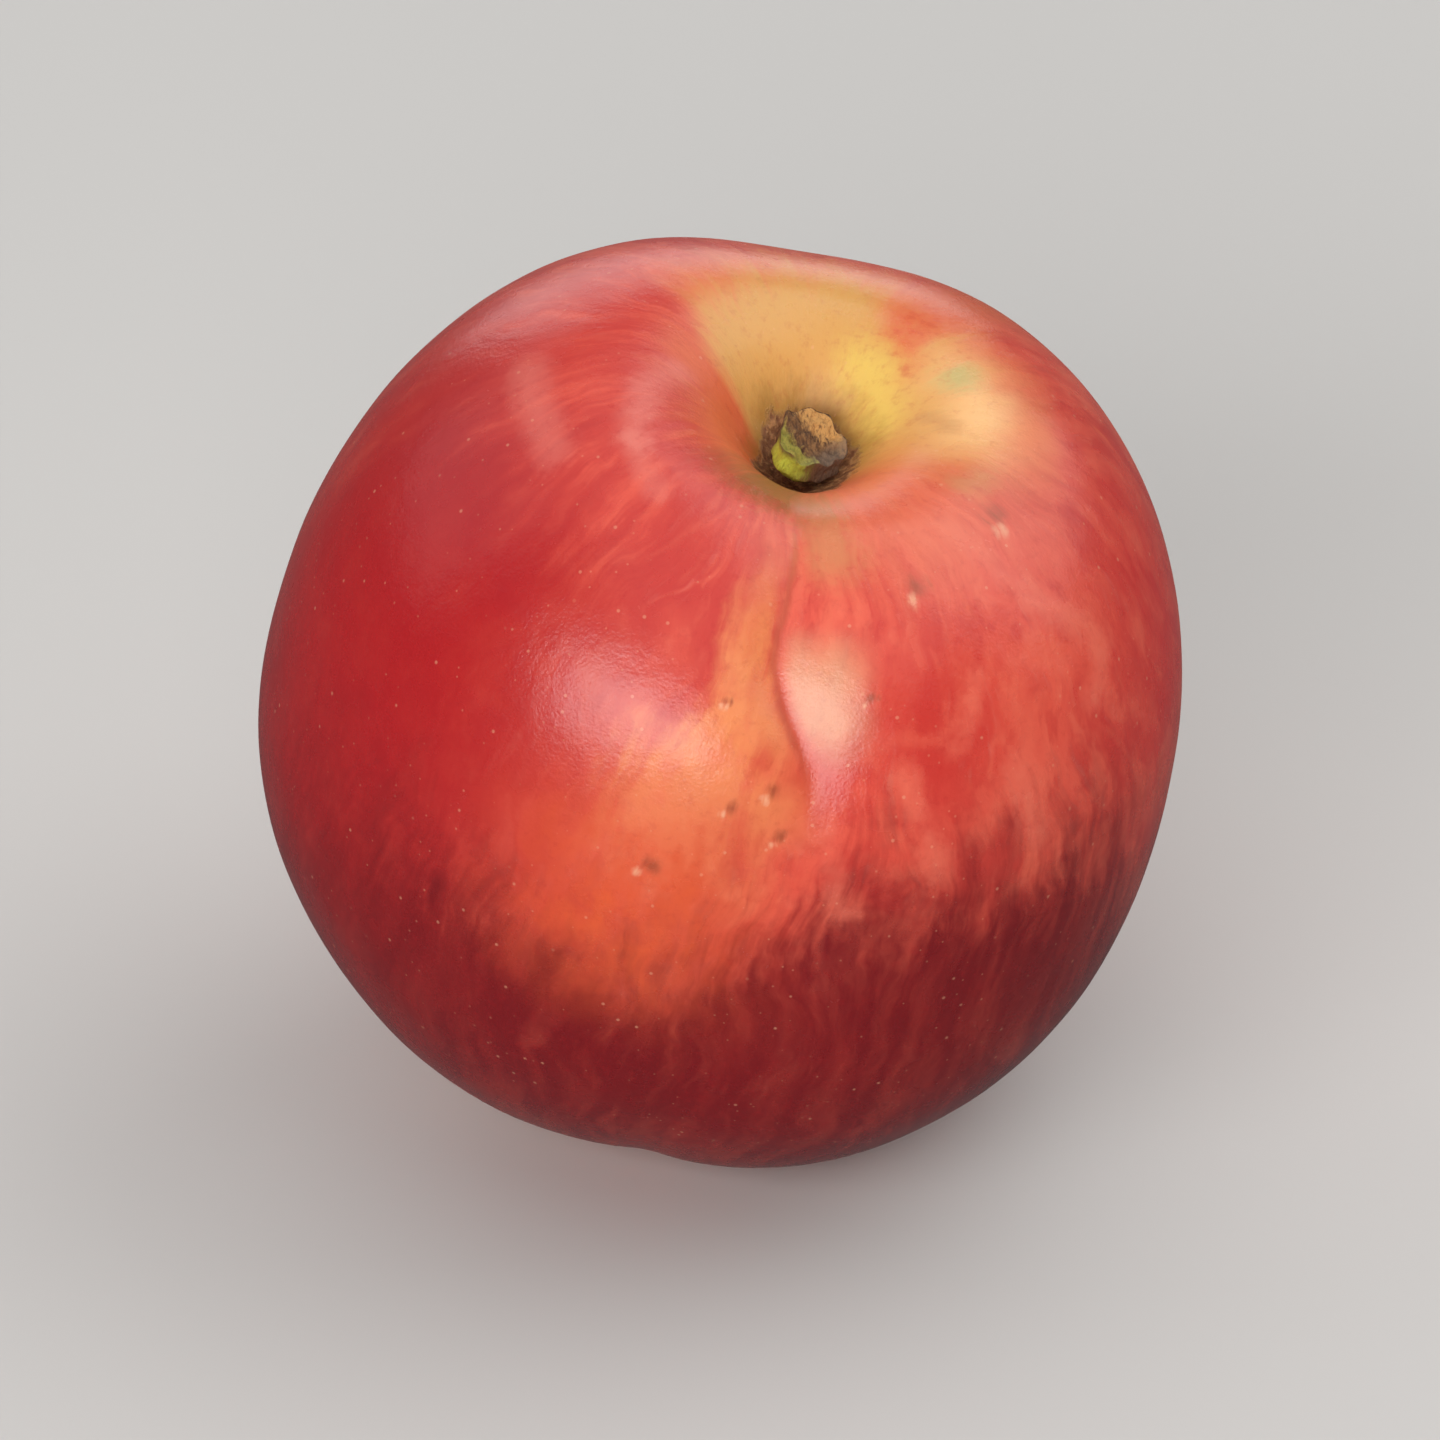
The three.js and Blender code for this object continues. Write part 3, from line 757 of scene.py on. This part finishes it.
def stub_profile(height):
    waist_height = (STUB_COLLAR_HEIGHT + STUB_HEIGHT) / 2
    to_waist = smoothstep(height, STUB_COLLAR_HEIGHT, waist_height)
    to_end = smoothstep(height, waist_height, STUB_HEIGHT)
    upper = STUB_COLLAR_RADIUS + (STUB_WAIST_RADIUS - STUB_COLLAR_RADIUS) * to_waist
    upper = upper + (STUB_END_RADIUS - upper) * to_end
    lower = STUB_FOOT_RADIUS + (STUB_COLLAR_RADIUS - STUB_FOOT_RADIUS) * height / STUB_COLLAR_HEIGHT
    return np.where(height < STUB_COLLAR_HEIGHT, lower, upper)


def ring_of_points(angle, radius, height):
    return np.stack([radius * np.cos(angle), radius * np.sin(angle), height], axis=-1)


def stub_mesh():
    angle = 2 * math.pi * np.arange(STUB_COLUMNS) / STUB_COLUMNS
    rings, wood = [], []
    for row in range(1, BREAK_ROWS + 1):
        share = row / (BREAK_ROWS + 1)
        radius = share * STUB_END_RADIUS * bark_factor(angle)
        height = STUB_HEIGHT + share * (torn_edge(angle) - STUB_HEIGHT) - BREAK_DISH * (1 - share**2)
        rings.append(ring_of_points(angle, radius, height))
        wood += [1.0] * STUB_COLUMNS
    for row in range(STUB_ROWS + 1):
        share = 1 - row / STUB_ROWS
        radius = stub_profile(share * STUB_HEIGHT) * bark_factor(angle)
        rings.append(ring_of_points(angle, radius, share * torn_edge(angle)))
        wood += [0.0] * STUB_COLUMNS
    points = np.concatenate([[[0, 0, STUB_HEIGHT - BREAK_DISH]], np.concatenate(rings), [[0, 0, 0]]])
    wood = np.array([1.0] + wood + [0.0])
    fibres = noise_over(points * (1.0, 1.0, 0.3), BARK_FIBRE_LENGTH, 5) - 0.5
    flat = points.copy()
    flat[:, 2] = 0
    length = np.maximum(np.linalg.norm(flat, axis=1), 1e-6)[:, None]
    points = points + flat / length * (fibres * BARK_FIBRE_RELIEF * (1 - wood))[:, None]
    points[:, 2] += (noise_over(points, SPLINTER_LENGTH, 6) - 0.5) * SPLINTER_RELIEF * wood
    local = points.copy()
    tilt = np.array(Matrix.Rotation(math.radians(STUB_TILT), 3, "Y"))
    middle = float(skin_radius(np.array(0.0), np.array(0.0)))
    points = points @ tilt.T + (STUB_OFFSET_X, STUB_OFFSET_Y, middle + STUB_GAP)
    points = points @ np.array(LEAN).T + PLACE

    mesh = closed_mesh("stalk_stub_bark", points, len(rings), STUB_COLUMNS)
    put_attribute(mesh, "stub_place", local)
    put_attribute(mesh, "wood", wood)
    return mesh


def stub_material():
    material, shader = new_material("stalk_bark")
    place = attribute("stub_place")
    x, y, z = split(place)
    fibres = grain(join(x, y, z * 0.25), 2.6, 4.0, 0.6)
    crumbs = grain(place, 5.0, 4.0, 0.65)
    bark = blend_colours(ramp(fibres, 0.35, 0.68), STUB_DARK, STUB_BARK)
    slate = ramp(x + swing(fibres, 2.0), 0.2, 2.0) * ramp(y, 0.9, -0.8) * ramp(crumbs, 0.35, 0.5)
    bark = blend_colours(slate * 0.8, bark, SLATE)
    olive = ramp(x + swing(fibres, 2.0), 0.8, -1.2) * ramp(y, 0.4, -1.2)
    olive = olive * ramp(z + swing(fibres, 1.0), 3.3, 2.3)
    bark = blend_colours(olive * ramp(fibres, 0.25, 0.5, 0.6, 1.0), bark, STUB_OLIVE)

    # The broken end: dark brown pith and fibres, paler where the wood tore off on the far right.
    splinters = grain(join(x * 2.2 + y * 0.8, y * 0.7 - x * 0.5, z), 2.0, 5.0, 0.7)
    wood = blend_colours(ramp(splinters, 0.35, 0.65), STUB_DARK, STUB_WOOD)
    to_far_right = x * 0.55 + y * 0.85 + swing(splinters, 2.4)
    wood = blend_colours(ramp(to_far_right, 0.5, 1.6) * 0.85, wood, STUB_PALE_WOOD)
    wood = blend_colours(ramp(splinters, 0.44, 0.36) * 0.6, wood, STUB_DARK)
    wood = blend_colours(ramp(x - y * 0.9 + swing(splinters, 3.0), 1.0, 2.4) * 0.7, wood, SLATE)
    wood = blend_colours(ramp(-x - y + swing(splinters, 3.0), 1.0, 2.4) * 0.3, wood, STUB_OLIVE)
    surface = blend_colours(ramp(attribute("wood", "Fac"), 0.3, 0.7), bark, wood)
    plug(shader.inputs["Base Color"], surface)
    plug(shader.inputs["Roughness"], 0.75 + crumbs * 0.2)
    raise_relief(shader, [(fibres, 0.35), (crumbs, 0.12)])
    return material


# --- The pieces -------------------------------------------------------------------------------
fruit = add_piece("nectarine_fruit", fruit_mesh(), skin_material())
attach(fruit, "root")
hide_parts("fruit")

stub = add_piece("nectarine_stalk_stub", stub_mesh(), stub_material())
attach(stub, "root")
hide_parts("stalk_stub")


# --- The studio -------------------------------------------------------------------------------
VIEW_ELEVATION = 32.0
VIEW_DISTANCE = 1.217
SENSOR = 36.0
LENS = 400.0
MIDDLE = Vector(PLACE * MM)
FLOOR_REACH = 3.0
FLOOR_GAP = 0.00005
FLOOR_GREY = "#cfcdca"
AMBIENT = 0.12


def floor():
    material, shader = new_material("studio_floor")
    shader.inputs["Base Color"].default_value = colour(FLOOR_GREY)
    shader.inputs["Roughness"].default_value = 0.85
    mesh = bpy.data.meshes.new("studio_floor")
    corners = [(x * FLOOR_REACH, y * FLOOR_REACH, 0.0) for x, y in ((-1, -1), (1, -1), (1, 1), (-1, 1))]
    mesh.from_pydata(corners, [], [(0, 1, 2, 3)])
    piece = add_piece("studio_floor", mesh, material)
    piece.location.z = -FLOOR_GAP
    # Nothing pale is mirrored in the lower skin, so its dark crimson stays deep.
    piece.visible_glossy = False


def aim(thing, place, target):
    thing.location = place
    thing.rotation_euler = (Vector(target) - Vector(place)).to_track_quat("-Z", "Y").to_euler()


def place_round(azimuth, elevation, distance):
    """A place seen from the fruit in that direction: azimuth 0 is the camera's side, 90 the right."""
    a, e = math.radians(azimuth), math.radians(elevation)
    return MIDDLE + distance * Vector((math.sin(a) * math.cos(e), -math.cos(a) * math.cos(e), math.sin(e)))


def soft_box(name, azimuth, elevation, distance, size, radiance):
    light = bpy.data.lights.new(name, "AREA")
    light.shape = "RECTANGLE"
    light.size, light.size_y = size
    light.energy = radiance * math.pi * size[0] * size[1]
    thing = bpy.data.objects.new(name, light)
    bpy.context.scene.collection.objects.link(thing)
    aim(thing, place_round(azimuth, elevation, distance), MIDDLE)


def surroundings():
    """Faint even light from all round."""
    world = bpy.data.worlds.new("studio")
    world.use_nodes = True
    background = world.node_tree.nodes["Background"]
    background.inputs["Color"].default_value = (1.0, 1.0, 1.0, 1.0)
    background.inputs["Strength"].default_value = AMBIENT
    bpy.context.scene.world = world


def camera():
    data = bpy.data.cameras.new("camera")
    data.sensor_width = SENSOR
    data.lens = LENS
    data.clip_end = 50.0
    thing = bpy.data.objects.new("camera", data)
    bpy.context.scene.collection.objects.link(thing)
    aim(thing, place_round(0.0, VIEW_ELEVATION, VIEW_DISTANCE), MIDDLE)
    bpy.context.scene.camera = thing


floor()
camera()
# Where each light stands, as seen from the fruit: azimuth from the camera's side, and elevation.
soft_box("key", azimuth=-21.0, elevation=25.0, distance=0.9, size=(0.82, 0.44), radiance=5.6)
soft_box("overhead", azimuth=75.0, elevation=74.0, distance=0.9, size=(1.5, 1.5), radiance=0.68)
soft_box("right_fill", azimuth=112.0, elevation=42.0, distance=0.9, size=(1.0, 1.0), radiance=1.0)
soft_box("behind", azimuth=-176.0, elevation=18.0, distance=1.2, size=(0.95, 0.7), radiance=1.3)
soft_box("left_fill", azimuth=-112.0, elevation=40.0, distance=0.9, size=(0.8, 0.8), radiance=0.6)
surroundings()
bpy.context.scene.view_settings.view_transform = "Standard"
